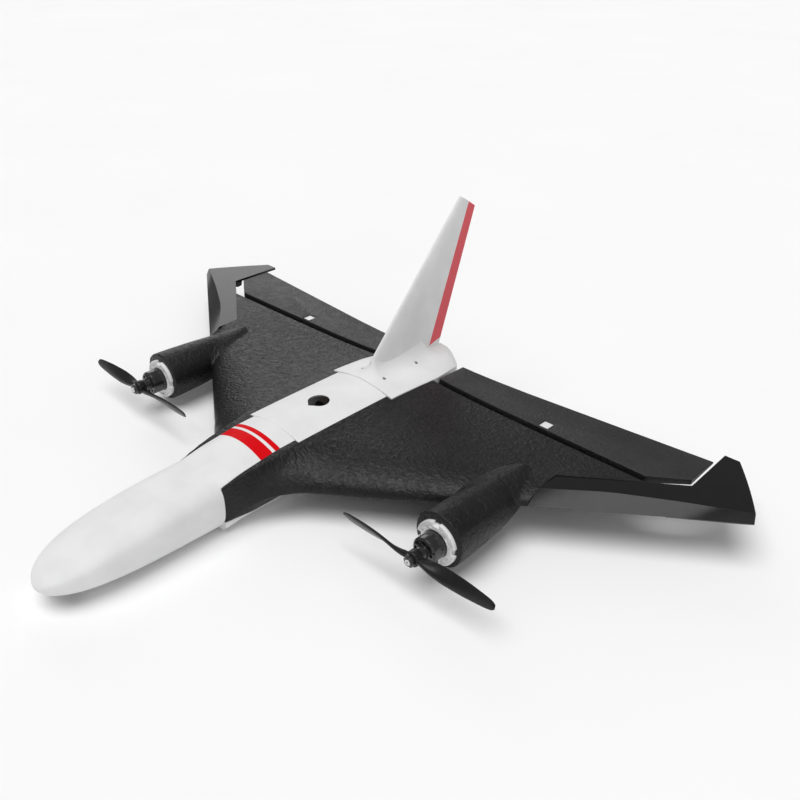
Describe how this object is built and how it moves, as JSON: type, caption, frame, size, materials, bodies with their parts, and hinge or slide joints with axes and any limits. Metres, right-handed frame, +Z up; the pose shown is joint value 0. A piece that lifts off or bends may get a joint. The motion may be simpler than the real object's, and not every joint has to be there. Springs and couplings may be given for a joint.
{
  "type": "radio-controlled flying wing",
  "caption": "Radio-controlled flying wing: foam fuselage with lift-off hatch and fin, swept wings with motor pods and tip covers, hinged elevons moved by servos, and spinning propellers",
  "frame": {"origin": "on the ground under the middle of the outline", "axes": "+Z up, the nose points to -Y, +X is the aircraft's left wing seen from its own seat, which is the wing on the right when it is seen from the front"},
  "size_m": [0.69, 0.477, 0.2007],
  "materials": {
    "white_foam": "satin",
    "black_foam": "satin",
    "grey_foam": "satin",
    "gloss_black": "gloss",
    "black_plastic": "satin",
    "white_plastic": "semi-gloss",
    "prop_black": "semi-gloss",
    "anodised_black": "anodised gloss",
    "steel": "machined",
    "machined_aluminium": "machined",
    "copper_winding": "lacquered",
    "magnet_nickel": "plated",
    "plywood": "bare",
    "battery_wrap": "satin",
    "strap_fabric": "woven",
    "circuit_board": "satin",
    "carbon": "satin",
    "hinge_tape": "gloss"
  },
  "bodies": {
    "airframe": {"fuselage": "white_foam", "nose_intake": "black_plastic", "tail_saddle": "white_foam", "fin": "white_foam", "fin_screws": "steel", "bay_magnets": "magnet_nickel", "battery_tray": "plywood", "battery": "battery_wrap", "battery_strap": "strap_fabric", "flight_controller": "circuit_board", "receiver": "black_plastic", "main_spar": "carbon", "rear_spar": "carbon", "wing_right": "black_foam", "wing_left": "black_foam", "tip_cover_right": "gloss_black", "tip_cover_left": "gloss_black", "hinge_tape_right": "hinge_tape", "hinge_tape_left": "hinge_tape", "servo_right": "black_plastic", "servo_left": "black_plastic", "esc_right": "circuit_board", "esc_left": "circuit_board", "motor_mount_right": "white_plastic", "motor_mount_left": "white_plastic", "motor_screws": "steel", "motor_base_right": "machined_aluminium", "motor_base_left": "machined_aluminium", "stator_right": "copper_winding", "stator_left": "copper_winding", "bearings_right": "steel", "bearings_left": "steel"},
    "hatch_lid": {"hatch": "white_foam", "hatch_magnets": "magnet_nickel"},
    "elevon_right_flap": {"elevon_right": "grey_foam", "elevon_tape_right": "hinge_tape", "control_horn_right": "white_plastic"},
    "servo_arm_right_lever": {"servo_arm_right": "white_plastic"},
    "pushrod_right_link": {"pushrod_right": "steel"},
    "rotor_right": {"motor_bell_right": "anodised_black", "bell_magnets_right": "magnet_nickel", "motor_shaft_right": "steel", "propeller_right": "prop_black", "prop_nut_right": "anodised_black"},
    "elevon_left_flap": {"elevon_left": "grey_foam", "elevon_tape_left": "hinge_tape", "control_horn_left": "white_plastic"},
    "servo_arm_left_lever": {"servo_arm_left": "white_plastic"},
    "pushrod_left_link": {"pushrod_left": "steel"},
    "rotor_left": {"motor_bell_left": "anodised_black", "bell_magnets_left": "magnet_nickel", "motor_shaft_left": "steel", "propeller_left": "prop_black", "prop_nut_left": "anodised_black"}
  },
  "joints": [
    {"name": "hatch_lift", "type": "slide", "parent": "airframe", "child": "hatch_lid", "axis": [0, 0, 1], "range_m": [0, 0.06]},
    {"name": "elevon_right_hinge", "type": "hinge", "parent": "airframe", "child": "elevon_right_flap", "pos_m": [0.155, 0.1482, 0.0385], "axis": [1, 0, 0], "range_deg": [-25, 25]},
    {"name": "servo_arm_right_pivot", "type": "hinge", "parent": "airframe", "child": "servo_arm_right_lever", "pos_m": [0.155, 0.1102, 0.0385], "axis": [1, 0, 0], "range_deg": [-25, 25]},
    {"name": "pushrod_right_pivot", "type": "hinge", "parent": "servo_arm_right_lever", "child": "pushrod_right_link", "pos_m": [0.155, 0.1102, 0.0265], "axis": [1, 0, 0], "range_deg": [-25, 25]},
    {"name": "propeller_right_spin", "type": "hinge", "parent": "airframe", "child": "rotor_right", "pos_m": [0.181, -0.0341, 0.03], "axis": [0, 1, 0], "continuous": true},
    {"name": "elevon_left_hinge", "type": "hinge", "parent": "airframe", "child": "elevon_left_flap", "pos_m": [-0.155, 0.1482, 0.0385], "axis": [1, 0, 0], "range_deg": [-25, 25]},
    {"name": "servo_arm_left_pivot", "type": "hinge", "parent": "airframe", "child": "servo_arm_left_lever", "pos_m": [-0.155, 0.1102, 0.0385], "axis": [1, 0, 0], "range_deg": [-25, 25]},
    {"name": "pushrod_left_pivot", "type": "hinge", "parent": "servo_arm_left_lever", "child": "pushrod_left_link", "pos_m": [-0.155, 0.1102, 0.0265], "axis": [1, 0, 0], "range_deg": [-25, 25]},
    {"name": "propeller_left_spin", "type": "hinge", "parent": "airframe", "child": "rotor_left", "pos_m": [-0.181, -0.0341, 0.03], "axis": [0, 1, 0], "continuous": true}
  ],
  "couplings": [
    {"joint": "servo_arm_right_pivot", "follows": "elevon_right_hinge", "ratio": 1},
    {"joint": "pushrod_right_pivot", "follows": "elevon_right_hinge", "ratio": -1},
    {"joint": "servo_arm_left_pivot", "follows": "elevon_left_hinge", "ratio": 1},
    {"joint": "pushrod_left_pivot", "follows": "elevon_left_hinge", "ratio": -1}
  ]
}
